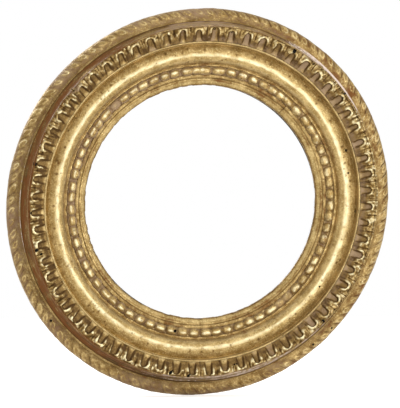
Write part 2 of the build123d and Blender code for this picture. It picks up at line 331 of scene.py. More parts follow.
gilding = {
    "deep": "#9F824C", "light": "#C8AB72", "cloudFrom": 0.33, "cloudTo": 0.68,
    "metallic": 0.6, "smoothest": 0.26, "roughest": 0.62, "roughScuffs": 0.5, "roughFrom": 0.1,
    "relief": 0.7, "reliefDepth": 0.3, "reliefScuffs": 1.4, "dirtSheen": 0.2,
    # each noise: how many millimetres its patches are, its detail and its roughness
    "textures": {"clouds": (7.0, 4, 0.65), "scuffs": (2.0, 5, 0.75), "specks": (1.0, 2, 0.7)},
    "layers": [
        # the carving's mark, the texture that breaks its edge up and how much, where the layer
        # begins and is full, how well it covers, its colour, and how far it dulls the gold.
        # No piece has the mark "even", so those two layers lie everywhere alike.
        # this pale layer is gold worn by rubbing, and also painted highlight on the crests and on the right
        # side
        ("rubbedAndHighlight", "scuffs", 0.65, 0.48, 1.18, 0.9, "#F8EBBE", 0.0),
        ("even", "specks", -1.0, -0.46, -0.32, 0.5, "#F0DC9E", 0.0),
        ("even", "specks", 1.0, 0.58, 0.72, 0.65, "#6E4F22", 0.5),
        # the two dark layers are dirt in the hollows, and also painted shade in creases and on the cove's
        # lower left
        ("grimeAndShade", "scuffs", 0.8, 0.55, 1.25, 0.85, "#7C5E2E", 0.4),
        ("grimeAndShade", "specks", 0.6, 1.05, 1.5, 0.85, "#4E3415", 0.9),
        ("clay", "scuffs", 1.0, 0.85, 1.25, 0.95, "#7C4B1E", 0.7),
        # the chalk and white layers are worn-through ground, and at the upper right, the top and the bottom
        # partly painted highlight
        ("chalk", "scuffs", 0.9, 0.8, 1.25, 0.85, "#AA8E70", 1.0),
        ("bare", "scuffs", 1.2, 0.9, 1.35, 0.95, "#F0DDCF", 1.0),
        # the holes' insides are painted near black: painted shade that stands for their depth
        ("hole", "specks", 0.0, 0.1, 0.8, 1.0, "#0C0805", 1.0),
    ],
}


def giltMaterial(name):
    g = gilding
    material, tree = newMaterial(name)
    place = addNode(tree, "ShaderNodeTexCoord", "Object", {})
    textures = {word: addNoise(tree, place, *numbers) for word, numbers in g["textures"].items()}
    cloud = addStep(tree, textures["clouds"], g["cloudFrom"], g["cloudTo"])
    colour = addMix(tree, cloud, linear(g["deep"]), linear(g["light"]))
    dulled = 0.0
    for word, texture, ragged, start, full, cover, hexColour, dull in g["layers"]:
        mark = addNode(tree, "ShaderNodeAttribute", "Fac", {}, attribute_name=word)
        edge = addMath(tree, "MULTIPLY_ADD", textures[texture], ragged, mark)
        share = addStep(tree, edge, start, full, cover)
        colour = addMix(tree, share, colour, linear(hexColour))
        dulled = addMath(tree, "MULTIPLY_ADD", share, dull, dulled, clamped=True)
    metallic = addRange(tree, dulled, g["metallic"], 0.0)
    uneven = addMath(tree, "MULTIPLY_ADD", textures["scuffs"], g["roughScuffs"], dulled)
    rough = addRange(tree, uneven, g["smoothest"], g["roughest"], low=g["roughFrom"])
    height = addMath(tree, "MULTIPLY_ADD", textures["scuffs"], g["reliefScuffs"], textures["specks"])
    pits = addBump(tree, height, g["relief"], g["reliefDepth"])
    addSurface(tree, {"Base Color": colour, "Metallic": metallic, "Roughness": rough, "Normal": pits,
                      "Specular IOR Level": g["dirtSheen"]})
    return material


# Plain materials: a cloudy mix of two colours over a fine relief

clouding = {"detail": 6, "rough": 0.65, "from": 0.33, "to": 0.7, "smoother": 0.08, "rougher": 0.12,
            "relief": 0.4}
plainLooks = {
    # bare lime wood, browned by age and dust, with its grain drawn out
    "bareLimeWood": {"main": "#8C6840", "other": "#5F4328", "patch": 1.2, "rough": 0.78, "relief": 0.3,
                     "metallic": 0.0, "stretch": (0.07, 1, 1), "turn": (0, 0.35, 0)},
    # brown gummed paper: matt, fibrous and a little cockled
    "gummedPaper": {"main": "#A98556", "other": "#7C5A35", "patch": 0.8, "rough": 0.85, "relief": 0.1,
                    "metallic": 0.0},
    # brass, pressed from sheet or drawn as wire, gone brown in clouds
    "sheetBrass": {"main": "#A07A3C", "other": "#5F4524", "patch": 5.0, "rough": 0.44, "relief": 0.1,
                   "metallic": 0.9},
    "brassWire": {"main": "#B08A48", "other": "#6B5029", "patch": 4.0, "rough": 0.38, "relief": 0.1,
                  "metallic": 0.9},
    # steel screws with a skin of brown oxide
    "oxidisedSteel": {"main": "#6B645C", "other": "#41342A", "patch": 1.6, "rough": 0.5, "relief": 0.1,
                      "metallic": 0.85},
}


def cloudyMaterial(name, look):
    c = clouding
    material, tree = newMaterial(name)
    place = addNode(tree, "ShaderNodeTexCoord", "Object", {})
    place = addNode(tree, "ShaderNodeMapping", "Vector", {
        "Vector": place, "Scale": look.get("stretch", (1, 1, 1)), "Rotation": look.get("turn", (0, 0, 0))})
    clouds = addNoise(tree, place, look["patch"], c["detail"], c["rough"])
    share = addStep(tree, clouds, c["from"], c["to"])
    colour = addMix(tree, share, linear(look["main"]), linear(look["other"]))
    rough = addRange(tree, clouds, look["rough"] - c["smoother"], look["rough"] + c["rougher"])
    relief = addBump(tree, clouds, c["relief"], look["relief"])
    addSurface(tree, {"Base Color": colour, "Metallic": look["metallic"], "Roughness": rough,
                      "Normal": relief})
    return material


# Old drawn sheet glass: clear, with the slightest ripple

drawnGlass = {"patch": 30, "detail": 2, "ripple": 0.08, "rippleDepth": 0.2, "rough": 0.02, "ior": 1.52}


def glassMaterial(name):
    g = drawnGlass
    material, tree = newMaterial(name)
    place = addNode(tree, "ShaderNodeTexCoord", "Object", {})
    ripple = addNoise(tree, place, g["patch"], g["detail"])
    relief = addBump(tree, ripple, g["ripple"], g["rippleDepth"])
    addSurface(tree, {"Base Color": linear("#FFFFFF"), "Roughness": g["rough"], "IOR": g["ior"],
                      "Transmission Weight": 1.0, "Normal": relief})
    return material


gilt = giltMaterial("waterGilding")
plain = {name: cloudyMaterial(name, look) for name, look in plainLooks.items()}
print("materials made")


# Back ring: the carved rim outside, bare wood behind, the picture rebate and the glass step inside

backRing = {
    # the first joint's place, the steps in a quarter, and the least and most relief. Within trueBelow
    # of the axis the ring stays round.
    "joint": 22.5, "steps": 660, "limits": (-2.5, 0.6), "trueBelow": 85.0,
    "section": [
        ("rebate", (79.5, 9.2), (79.5, 0.3), 0, 4),
        ("back", (79.8, 0.0), (119.9, 0.0), 0, 12),
        ("back", (120.0, -0.1), (120.1, -0.5), 0, 2),
        ("back", (120.3, -0.6), (123.2, -0.6), 0, 4),   # the land that rests against the wall
        ("edge", (123.6, -0.3), (125.0, 4.0), 0.05, 8),
        ("rim", (125.0, 4.0), (117.7, 10.2), 2.5, 42),
        ("rimFillet", (117.5, 10.4), (116.3, 11.1), 0.22, 7),
        ("jointFace", (116.0, 11.2), (78.6, 11.2), 0, 6),
        ("jointFace", (78.6, 11.2), (78.6, 9.2), 0, 2),   # the step that the glass lies in
        ("jointFace", (78.6, 9.2), (79.5, 9.2), 0, 1),
    ],
    "bareWood": ("rebate", "back", "jointFace"), "pierced": ("rim",), "holesBetween": (117, 125),
    # the pattern on the rim: a raised C that opens to one side, a bead and a slanting cut to each pitch
    "hooks": 104, "hookSeed": 41, "patternRadius": 121.5, "slant": 0.7, "hookAcross": 6.2,
    "hookRadius": 1.6, "hookWidth": 0.55, "hookSquash": 0.8, "opensAt": -0.9, "opening": 0.9,
    "hookAside": 0.35, "hookOutwards": 0.4, "hookTurned": 0.8, "hookSquashed": 0.15, "hookLarger": 0.2,
    "hookHeight": (0.72, 0.28), "hooksFrom": (1.2, 3.2), "hooksTo": (8.4, 9.6), "wornAway": 0.55,
    "beadPlace": (0.9, -0.9), "beadWidth": 0.45, "beadUnless": -0.3,
    "cutWidth": 0.42, "cutDepth": (0.75, 0.25), "cutsFrom": (1.5, 3.5), "cutsTo": (7.6, 9.2),
    "strokeAside": 0.75, "strokeWidth": 0.4, "strokesFrom": (1.0, 2.5),
    "edgeLine": (0.4, 0.3),
    "rises": {"innerHalf": (0.55, 0.9)},
    "noise": {"swell": (5, 7, 4), "grain": (6, 2.2, 1.6), "cloud": (8, 16, 7), "fine": (9, 3, 2)},
    # the spots at the upper right and the bottom make the rim fillet pale, partly worn and partly as painted
    # highlight
    "spots": {"smoothed": (250, 38), "right": (10, 60), "above": (95, 40), "bareTop": (43, 20),
              "chalkAndLitTop": (45, 17), "chalkAndLitBottom": (275, 16), "left": (178, 26)},
    "relief": {"raised": 0.5, "cut": -0.35, "edge": -0.12, "hole": -1.2,
               "swell rim": 0.16, "swell edge": 0.08, "swell rimFillet": 0.064,
               "grain rim": 0.12, "grain edge": 0.06, "grain rimFillet": 0.048},
    "marks": {
        # at the right the cuts are painted darker and the ridges beside them brighter: painted shade and
        # painted highlight
        "grimeAndShade": {"all": 0.62, "raised": -0.75, "cut": 0.5, "cut right": 0.4, "fine": 0.2, "cloud": 0.1,
                  "rimFillet": -0.1, "rimFillet innerHalf": 0.6},
        "rubbedAndHighlight": {"raised": 0.68, "raised right": -0.2, "fine": -0.15, "rim": -0.15, "stroke right": 0.85},
        "clay": {"rim": 0.28, "rim right": 0.1, "rimFillet": 0.25, "cloud": 0.2, "fine": 0.2,
                 "raised": -0.2},
        "chalk": {"rim": 0.45, "rim right": -0.3, "rim above": 0.12, "cloud": 0.2, "raised": -0.35,
                  "rimFillet chalky": 0.55},
        "bare": {"rimFillet bareTop": 0.8, "rimFillet edgeLine": 0.55, "rimFillet edgeLine fine": 0.3},
    },
}


def backRingMasks(outline, angle, masks):
    b = backRing
    along, share, rim = outline["along"], outline["share"], masks["rim"]
    across = (along - along[outline["names"] == "rim"][0])[None, :]
    pitch = fullTurn / b["hooks"]
    number = np.floor(angle / pitch).astype(int) % b["hooks"]
    aside, outwards, turned, strong, squashed, larger = unlike(b["hookSeed"], b["hooks"], 6, number)
    away = across - b["hookAcross"] - outwards * b["hookOutwards"]
    pitchPlace = ((angle / pitch) % 1 - 0.5) * pitch * b["patternRadius"] + away * b["slant"]
    sideways = pitchPlace + aside * b["hookAside"]
    fromMiddle = np.hypot(sideways, away * (b["hookSquash"] + b["hookSquashed"] * squashed))
    ringGap = fromMiddle - b["hookRadius"] * (1 + b["hookLarger"] * larger)
    opening = hill(np.arctan2(away, sideways) - b["opensAt"] + turned * b["hookTurned"], b["opening"])
    hook = hill(ringGap, b["hookWidth"]) * (1 - opening)
    beadGap = np.hypot(sideways - b["beadPlace"][0], away - b["beadPlace"][1])
    bead = hill(beadGap, b["beadWidth"]) * (turned > b["beadUnless"])
    plainHeight, moreHeight = b["hookHeight"]
    height = (plainHeight + strong * moreHeight) * (1 - b["wornAway"] * masks["smoothed"])
    fromCut = np.abs(pitchPlace) - pitch * b["patternRadius"] / 2
    plainDepth, moreDepth = b["cutDepth"]
    cut = hill(fromCut, b["cutWidth"]) * between(b["cutsFrom"], b["cutsTo"], across)
    # the ridge beside each cut is what shows at the right, painted bright there as a painted highlight
    stroke = hill(fromCut + b["strokeAside"], b["strokeWidth"]) * smooth(*b["strokesFrom"], across)
    lineAt, lineWidth = b["edgeLine"]
    return {
        "raised": np.maximum(hook, bead) * height * between(b["hooksFrom"], b["hooksTo"], across) * rim,
        "cut": cut * (plainDepth + moreDepth * squashed) * rim,
        "stroke": stroke * rim,
        "chalky": np.maximum(masks["chalkAndLitTop"], masks["chalkAndLitBottom"]),
        "edgeLine": masks["left"] * hill(share - lineAt, lineWidth),
    }


# Front ring: cove, leaf bed, torus, pearl channel and the slope down to the sight edge

frontRing = {
    "joint": 48.0, "steps": 480, "limits": (-2.5, 0.5),
    "section": [
        ("under", (75.2, 11.2), (116.2, 11.2), 0, 8),
        ("cove", (116.4, 11.3), (113.6, 25.4), -1.2, 28),
        ("bed", (113.6, 25.4), (103.0, 21.2), 0, 5),
        ("bed", (103.0, 21.2), (103.0, 22.7), 0, 2),
        ("fillet", (102.95, 22.8), (101.9, 22.8), 0.35, 8),
        ("filletWall", (101.8, 22.6), (101.3, 17.9), 0, 8),
        ("torusOuter", (101.2, 17.8), (93.7, 20.2), 0.62, 24),
        ("torusInner", (93.7, 20.2), (89.0, 15.4), 0.95, 18),
        ("lip", (88.8, 15.0), (87.1, 15.0), 0.4, 9),
        ("channel", (87.0, 14.7), (86.9, 13.8), 0, 2),
        ("channel", (86.8, 13.8), (82.2, 13.8), 0, 4),
        ("channel", (82.1, 13.9), (82.0, 15.1), 0, 2),
        ("innerFillet", (81.9, 15.3), (79.9, 15.4), 0.22, 9),
        ("slope", (79.7, 15.0), (79.5, 15.0), 0, 1),
        ("slope", (79.4, 15.3), (75.3, 13.2), 0.3, 16),
        ("sight", (75.2, 13.1), (75.0, 11.4), 0.1, 5),
    ],
    "pierced": ("torusOuter", "torusInner", "fillet", "channel", "innerFillet"), "holesBetween": (76, 102.9),
    "knocks": {"count": 170, "seed": 15, "radius": 94.7, "spread": 2.6, "sizes": (0.25, 0.9),
               "stretch": (0.5, 1.2), "depth": 0.25},
    "crack": {"place": 48.2, "radius": 78, "width": 0.25},
    "chipsFrom": (0.0, 0.7), "chipping": {"all": 0.25, "chippedLeft": 0.75, "chippedTop": 0.5},
    "crestFrom": 0.6, "crestFull": 0.82, "crestWider": 0.25, "crestLine": (94.1, 0.9),
    "slopeMiddle": (0.5, 0.25), "slopeBand": (78.2, 0.6), "coveFootLine": (116.2, 0.4),
    "coveFaceBelow": (116.5, 116.0), "wornAndLitLine": (115.2, 0.65), "wornAndLitLineWaves": 0.35,
    "wornAndLitLineBroken": (0.9, 0.35), "wornEdgeLeft": 0.85, "wornEdgeGaps": 0.6, "gapsFrom": (-0.1, 0.5),
    "rises": {"outerFoot": (0.3, 0.0), "outerSide": (0.85, 0.3), "innerCrest": (0.3, 0.0),
              "innerBack": (0.1, 0.5), "innerLow": (0.2, 0.8), "innerAboveFoot": (1.0, 0.8),
              "nearTop": (0.16, 0.0), "nearSight": (0.7, 0.95), "atSight": (0.7, 1.0),
              "coveTop": (0.8, 1.0), "coveEdge": (0.86, 0.9)},
    "noise": {"swell": (11, 26, 9), "ripple": (12, 6, 3), "grain": (13, 1.6, 1.1), "wave": (14, 34, 1.3),
              "notches": (16, 4.2, math.inf), "cloud": (17, 18, 8), "fine": (18, 4, 2.2),
              "streak": (19, 9, 0.9)},
    # the spot at the right makes the crest and the lines along it brighter, as painted highlight, and the one
    # at the lower left darkens the cove, as painted shade
    "spots": {"held": (-8, 28), "chippedLeft": (205, 17), "chippedTop": (76.5, 3), "darkLeft": (238, 34),
              "mauve": (150, 70), "bareTop": (43, 22), "bareAndLitBottom": (282, 32), "bareLeft": (150, 45)},
    "relief": {"shown swell": 0.1, "shown ripple": 0.04, "shown grain": 0.06, "cove wave": 0.16,
               "torus knocks": -1.0, "chips sight": -1.5, "chips slope atSight": -0.9, "crack": -0.35,
               "hole": -1.3},
    "marks": {
        # dirt, and painted shade on the cove at the lower left and on the torus's outer flank below its
        # crest; the cove is also darker towards its foot, with a dark line there where it is pale
        "grimeAndShade": {"all": 0.26, "cloud": 0.16, "cloud torus": -0.06, "fine": 0.2, "fine torus": -0.12,
                  "torusOuter outerSide": 0.14, "torusOuter outerFoot": -0.3, "crest": -0.3,
                  "torusInner innerAboveFoot": -0.3, "torus pits": 0.75, "channel": 0.25,
                  "filletWall": 0.05, "lip": 0.1, "innerFillet": 0.25, "crack": 0.6, "slope": -0.06,
                  "slope nearTop": 0.55, "slope nearSight": 0.6, "slope slopeBand": 0.35, "sight": 0.45,
                  "cove": 0.3, "cove pale": -0.3, "cove streak": -0.25, "cove low": 0.35,
                  "cove darkLeft": 0.4, "cove darkLeft fine": 0.3, "cove pale coveFootLine": 0.9,
                  "cove pale coveTop": 0.28, "cove pale coveTop fine": 0.12},
        # rubbing on the crest, and painted highlight: a bright line along the crest, more of it at the right,
        # and the torus's inner side lightened against its shade
        "rubbedAndHighlight": {"crest": 0.38, "crest held": 0.18, "crest fine": 0.18, "crest streak": 0.1,
                   "fillet": 0.3, "torus crestLine": 0.25, "slope slopeMiddle": 0.25,
                   "torusInner innerBack": 0.32, "torusInner innerBack held": -0.256},
        # pinkish wear lies in the inner members, and the cove is bare clay at the left, and less so where it
        # is pale at the upper right, the top and the bottom, which is partly wear and partly painted
        # highlight
        "clay": {"all": 0.25, "cloud": 0.14, "members": 0.09, "members fine": 0.15, "cove": 0.4,
                 "cove pale": -0.45, "cove fine": 0.25, "cove streak": 0.25, "slope slopeBand": 0.126,
                 "slope slopeBand fine": 0.18},
        # the clay has gone too from the members beside the pearls, at the upper left; the cove's face is pale
        # at the upper right, the top and the bottom, partly worn and partly painted highlight
        "chalk": {"cloud": 0.08, "sight": 0.1, "coveFace pale": 0.75, "coveFace fine": 0.3,
                  "coveFace streak": 0.3, "mauve beside": 0.48, "mauve beside fine": 0.3},
        # the cove's pale edge: worn, and at the top and the bottom also a painted highlight
        "bare": {"wornEdge": 1.0, "wornEdge fine": 0.3},
    },
}


def knocksIn(angle, r):
    # how deep the small knocks along the torus are, and where they hold dirt
    k = frontRing["knocks"]
    random = np.random.default_rng(k["seed"])
    depth, pits = 0, 0
    for number in range(k["count"]):
        place, middle = random.uniform(0, 360), random.normal(k["radius"], k["spread"])
        size = random.uniform(*k["sizes"])
        aside = (r - middle) * random.uniform(*k["stretch"])
        pit = hill(np.hypot(np.radians(degreesFrom(angle, place)) * middle, aside), size)
        depth = depth + k["depth"] * size * pit
        pits = np.maximum(pits, pit)
    return depth, pits


def frontRingMasks(outline, angle, masks):
    f = frontRing
    share = outline["share"][None, :]
    r, h = outline["points"][:, 0][None, :], outline["points"][:, 1][None, :]
    cove, slope, outer, inner = masks["cove"], masks["slope"], masks["torusOuter"], masks["torusInner"]
    held, fine, streak, lip = masks["held"], masks["fine"], masks["streak"], masks["lip"]
    knocks, pits = knocksIn(angle, r)
    c = f["crack"]
    crack = hill(np.radians(degreesFrom(angle, c["place"])) * c["radius"], c["width"])
    hole = masks["hole"]
    for place, height, width in coveHoles:
        hole = np.maximum(hole, cove * hollow(angle, place, coveRadius, h - height, width))
    # the crest is painted bright, partly by rubbing and partly as a painted highlight, on a wider strip at
    # the right where the light falls
    crest = outer * smooth(f["crestFrom"] - f["crestWider"] * held, f["crestFull"], share)
    # the cove's outer line is pale at the bottom, its upper edge at the left, and all of it at the top: worn,
    # and at the top and the bottom partly a painted highlight
    linePlace, lineWidth = f["wornAndLitLine"]
    lineStrength, lineBreaks = f["wornAndLitLineBroken"]
    line = hill(r - linePlace - f["wornAndLitLineWaves"] * streak, lineWidth) * (lineStrength + lineBreaks * fine)
    wornEdge = np.maximum(masks["bareTop"], line * masks["bareAndLitBottom"])
    wornEdge = np.maximum(wornEdge, f["wornEdgeLeft"] * masks["coveEdge"] * masks["bareLeft"])
    lines = {word: hill(r - f[word][0], f[word][1]) for word in ("crestLine", "slopeBand", "coveFootLine")}
    middle, middleWidth = f["slopeMiddle"]
    return {
        "shown": 1 - on(outline, "under", "bed"),
        "torus": outer + inner,
        "knocks": knocks,
        "pits": pits,
        # the sight edge is chipped and wavy, most of all at the lower left
        "chips": smooth(*f["chipsFrom"], masks["notches"]) * summed(f["chipping"], masks),
        "crack": crack * (slope + masks["innerFillet"]),
        "hole": hole,
        # the crest and the top of the torus's inner side: rubbing and painted highlight; crestLine is a
        # narrow painted highlight along the crest, away from the right
        "crest": crest + inner * masks["innerCrest"],
        "crestLine": lines["crestLine"] * (1 - held),
        "members": masks["innerFillet"] + lip + 1.1 * inner * masks["innerLow"],
        "beside": masks["channel"] + 0.8 * lip + 0.7 * masks["innerFillet"],
        "slopeMiddle": hill(share - middle, middleWidth),
        "slopeBand": lines["slopeBand"],
        "low": 1 - share,
        "coveFace": cove * smooth(*f["coveFaceBelow"], r),
        "coveFootLine": lines["coveFootLine"],
        "wornEdge": wornEdge * cove * (1 - f["wornEdgeGaps"] * smooth(*f["gapsFrom"], fine)),
    }


# Leaf band: sunk tongues with round ends, and the leaves' raised edges arching over each of them

leafBand = {
    "joint": 14.0, "steps": 620, "leaves": 64, "limits": (-2.6, 0.9),
    "innerRadius": 103.0, "outerRadius": 113.6, "bedInner": 21.2, "bedOuter": 25.4, "topInner": 23.6,
    "topOuter": 27.9, "bandWidth": 11.4,
    "pierced": ("top", "end"), "holesBetween": (103, 114),
    "leafSeed": 23, "tongueSeed": 24,
    "tongueMouth": 2.1, "tongueHalf": 1.85, "tongueCentre": 7.0, "tongueEdge": (-0.35, 0.25),
    "tongueHeight": 22.85, "tongueOverBed": 0.85, "tongueHigher": 0.25, "tongueCrown": 0.25,
    "tongueCrownWidth": 1.2, "tongueLean": 0.8, "leanFrom": 0.4, "tongueWider": 0.16, "tongueLonger": 0.9,
    "tongueShorter": 1.5, "tongueWobble": 0.22, "groove": (0.05, 0.45), "grooveDepth": 0.65,
    "archGap": 0.95, "archAside": 0.2, "archWidth": 0.75, "archStrength": (0.8, 0.25), "archReach": 3.9,
    "archHeight": 0.7, "valleyWidth": 0.42, "valleyWider": 0.1, "valleyDepth": 0.75, "fluteHeight": 0.5,
    "flutesPerLeaf": 4.2, "fluteShift": 2, "fluteBend": (1.2, 7), "bumpHeight": 0.4, "leafFoot": 22.7,
    "leafClimb": 4.7, "leafHigher": 0.15, "rollOver": 1.5, "highest": 28.0, "waves": 0.1,
    "shoulderOverBed": 1.35, "wornBack": 1.7, "tipsRagged": 0.25, "shoulderFrom": (-0.3, 0.2),
    "wornEnough": (0.3, 0.9), "nicksAt": (0.35, 0.75), "strokesAt": (0.1, 0.7),
    # where over the band's width each thing sets in and is full, or is full and has gone
    "outwards": {"mouth": (0.2, 0.0), "root": (0.25, 0.05), "inside": (0.55, 0.2), "foot": (0.6, 0.25),
                 "groove": (-0.02, 0.12), "valley": (0.25, 0.6), "flutes": (0.15, 0.6), "bumps": (0.2, 0.6),
                 "climb": (-0.1, 0.82), "arch": (0.0, 0.5), "ridge": (0.1, 0.5), "nicks": (0.3, 0.55),
                 "strokes": (0.8, 0.5), "dirt": (0.0, 0.2), "knock": (0.4, 0.8)},
    "ridge": {"all": 0.08, "arch": 0.6, "flutes": 0.35, "bumps": 0.35, "crumbs": 0.5},
    "noise": {"bumps": (25, 2.0, 2.6), "uneven": (26, 5, 4), "mottle": (27, 2.4, 2), "clayCloud": (28, 5, 3),
              "chalkCloud": (29, 5, 5), "cutNicks": (30, 1.3, 2.2), "wobble": (31, 3, 3),
              "crumbs": (32, 1.5, 1.7), "cutStrokes": (33, 1.1, 4.5), "raggedTips": (39, 6, math.inf)},
    # the spot at the bottom lays a pale line along the worn tips: partly worn, partly a painted highlight
    "spots": {"shortTongues": (5, 55), "wornTop": (88, 38), "wornBottom": (280, 44), "wornLeft": (185, 42),
              "dullTop": (90, 40), "chalkKnock": (139, 3.2), "bareAndLitBottom": (282, 32), "bareLeft": (140, 27)},
    # the carving is worked out upright, which is more than its height square to the slanting band
    "relief": {"top carved": 0.92, "endCarved": 1.0, "top hole": -1.3, "heel": -0.02,
               "top leaf nicks": -0.4, "top leaf strokes": -0.3},
    # mauve-grey ground shows in the tongues at the right and the bottom, olive dirt at the left
    "marks": {
        # dirt, and painted shade: darker in the grooves, the valleys and the leaves' inner ends, and a
        # painted shadow under the worn tips
        "grimeAndShade": {"leaf": 0.42, "leaf ridge": -0.5, "leaf groove": 0.9, "leaf groove bareSide": -0.45,
                  "leaf valley": 0.55, "leaf root": 0.3, "leaf root bareSide": 0.2, "leaf tongue": 0.2,
                  "leaf tongue bareSide": 0.2, "leaf tongueRoot": -0.3, "leaf mottle": 0.16,
                  "leaf end": 0.15, "leaf dirtySide": 0.3, "leaf nicks": 0.4, "leaf strokes": 0.4,
                  "beside": 0.6, "beside pale": -0.35, "shoulder tipShadow": 0.7},
        # the leaves' ridges are painted bright: rubbing and painted highlight
        "rubbedAndHighlight": {"leaf bright": 0.95, "tongueMouth": 0.3},
        "clay": {"all": 0.12, "end": 0.35, "clayCloud": 0.14, "beside": 0.55, "beside pale": -0.45},
        # beside the worn tips the band is pale at the upper right, the top and the bottom: partly worn,
        # partly painted highlight
        "chalk": {"leaf floor bareSide": 0.6, "leaf floor chalkCloud": 0.3, "leaf innerHalf bareSide": 0.5,
                  "leaf knock": 0.7, "beside pale": 0.75, "beside crumbs": 0.25},
        "bare": {"shoulder lineBottom": 1.3, "shoulder lineLeft": 1.17},
    },
}
leafBand["section"] = [
    ("under", (leafBand["innerRadius"], leafBand["bedInner"]),
     (leafBand["outerRadius"], leafBand["bedOuter"]), 0, 6),
    ("end", (leafBand["outerRadius"], leafBand["bedOuter"] + 0.1), (113.35, 27.6), 0.1, 8),
    ("top", (113.1, leafBand["topOuter"]), (103.2, leafBand["topInner"]), 0, 70),
    ("heel", (leafBand["innerRadius"], 23.4), (leafBand["innerRadius"], 21.4), 0, 3),
]


def tonguePattern(angle, v, masks):
    # x runs sideways from the middle of the nearest tongue and y outwards, both in millimetres
    b = leafBand
    pitch = fullTurn / b["leaves"]
    turns = (angle - math.radians(b["joint"])) / pitch
    number = np.floor(turns).astype(int) % b["leaves"]
    u = turns - np.floor(turns) - 0.5   # from -0.5 to 0.5 across a leaf
    nextTongue = (number + (u > 0)) % b["leaves"]
    lean, wide, long, high = unlike(b["tongueSeed"], b["leaves"], 6, nextTongue)[:4]
    width = pitch * (b["innerRadius"] + (b["outerRadius"] - b["innerRadius"]) * v)
    x = (0.5 - np.abs(u)) * width + b["tongueLean"] * lean * np.sign(u) * (v - b["leanFrom"])
    y = v * b["bandWidth"]
    half = b["tongueHalf"] * (1 + b["tongueWider"] * wide)
    centre = b["tongueCentre"] + b["tongueLonger"] * long - b["tongueShorter"] * masks["shortTongues"]
    flare = (b["tongueMouth"] - b["tongueHalf"]) * (1 - y / centre) + b["tongueWobble"] * masks["wobble"]
    outside = np.where(y < centre, x - half - flare, np.hypot(x, y - centre) - half)
    return number, u, width, x, y, centre, high, outside


def leafCarving(outline, angle, v, rise, masks):
    b, top, end = leafBand, masks["top"], masks["end"]
    number, u, width, x, y, centre, high, outside = tonguePattern(angle, v, masks)
    valleyOwn, gapOwn, archOwn, fluteOwn, phaseOwn, highOwn, reachOwn, rubOwn = unlike(
        b["leafSeed"], b["leaves"], 8, number)
    inTongue = 1 - smooth(*b["tongueEdge"], outside)
    inLeaf = 1 - inTongue
    groovePlace, grooveWidth = b["groove"]
    groove = hill(outside - groovePlace, grooveWidth) * rise["groove"]
    # between the arches the leaf's middle is a valley, with a few short flutes
    valley = hill(np.abs(u) * width, b["valleyWidth"] + b["valleyWider"] * valleyOwn) * rise["valley"]
    strength, moreStrength = b["archStrength"]
    arch = hill(outside - b["archGap"] - b["archAside"] * gapOwn, b["archWidth"])
    arch = arch * (strength + moreStrength * archOwn)
    bend, bends = b["fluteBend"]
    phase = u * fullTurn * (b["flutesPerLeaf"] + fluteOwn) + phaseOwn * b["fluteShift"]
    flutes = (0.5 + 0.5 * np.cos(phase + bend * np.sin(v * bends))) * rise["flutes"] * inLeaf
    bumps = masks["bumps"] * rise["bumps"] * inLeaf
    # the leaf climbs steeply, levels off and rolls over at its outer end
    bed = b["bedInner"] + (b["bedOuter"] - b["bedInner"]) * v
    leaf = b["leafFoot"] + b["leafClimb"] * rise["climb"] + b["leafHigher"] * highOwn
    leaf = leaf + (arch - 0.5) * b["archHeight"] * rise["arch"]
    leaf = leaf + b["fluteHeight"] * flutes + b["bumpHeight"] * bumps - b["valleyDepth"] * valley
    beyond = np.where(y > centre, np.hypot(x, y - centre) - b["archReach"] - 0.2 * reachOwn, -1)
    leaf = leaf - b["rollOver"] * smooth(-0.5, 0.5, beyond)
    tongue = np.maximum(b["tongueHeight"], bed + b["tongueOverBed"] + b["tongueHigher"] * high)
    tongue = tongue + b["tongueCrown"] * hill(x, b["tongueCrownWidth"])
    height = leaf * inLeaf + tongue * inTongue - groove * b["grooveDepth"]
    # the leaves are worn back from the band's edge, and leave a smooth shoulder that looks like the cove
    worn = b["wornBack"] * np.maximum(masks["wornTop"], masks["wornBottom"])
    worn = worn + masks["wornLeft"] + b["tipsRagged"] * masks["raggedTips"]
    wornEnough = smooth(*b["wornEnough"], worn)
    fromTips = y - (b["bandWidth"] - worn)
    shoulder = smooth(*b["shoulderFrom"], fromTips) * wornEnough * top
    height = height * (1 - shoulder) + (bed + b["shoulderOverBed"]) * shoulder
    beside = np.maximum(shoulder, end * wornEnough)
    waves = b["waves"] * masks["uneven"]
    surfaceLine = b["topInner"] + (b["topOuter"] - b["topInner"]) * v
    rolled = waves - 0.35 - 0.5 * smooth(-0.3, 0.6, beyond)
    return {
        "carved": np.minimum(height + waves, b["highest"] - 0.1 * v) - surfaceLine,
        "endCarved": end * smooth(0.0, 0.5, outline["share"][None, :]) * rolled,
        "arch": arch, "flutes": flutes, "bumps": bumps, "groove": groove, "valley": valley,
        "tongue": inTongue, "betweenTongues": inLeaf, "rubOwn": rubOwn,
        # broken dark notches where the carver's tool cut between the flutes
        "nicks": smooth(*b["nicksAt"], masks["cutNicks"]) * rise["nicks"] * inLeaf,
        "strokes": smooth(*b["strokesAt"], masks["cutStrokes"]) * inLeaf * rise["strokes"],
        "shoulder": shoulder, "beside": beside, "leaf": 1 - beside, "fromTips": fromTips, "worn": worn,
    }


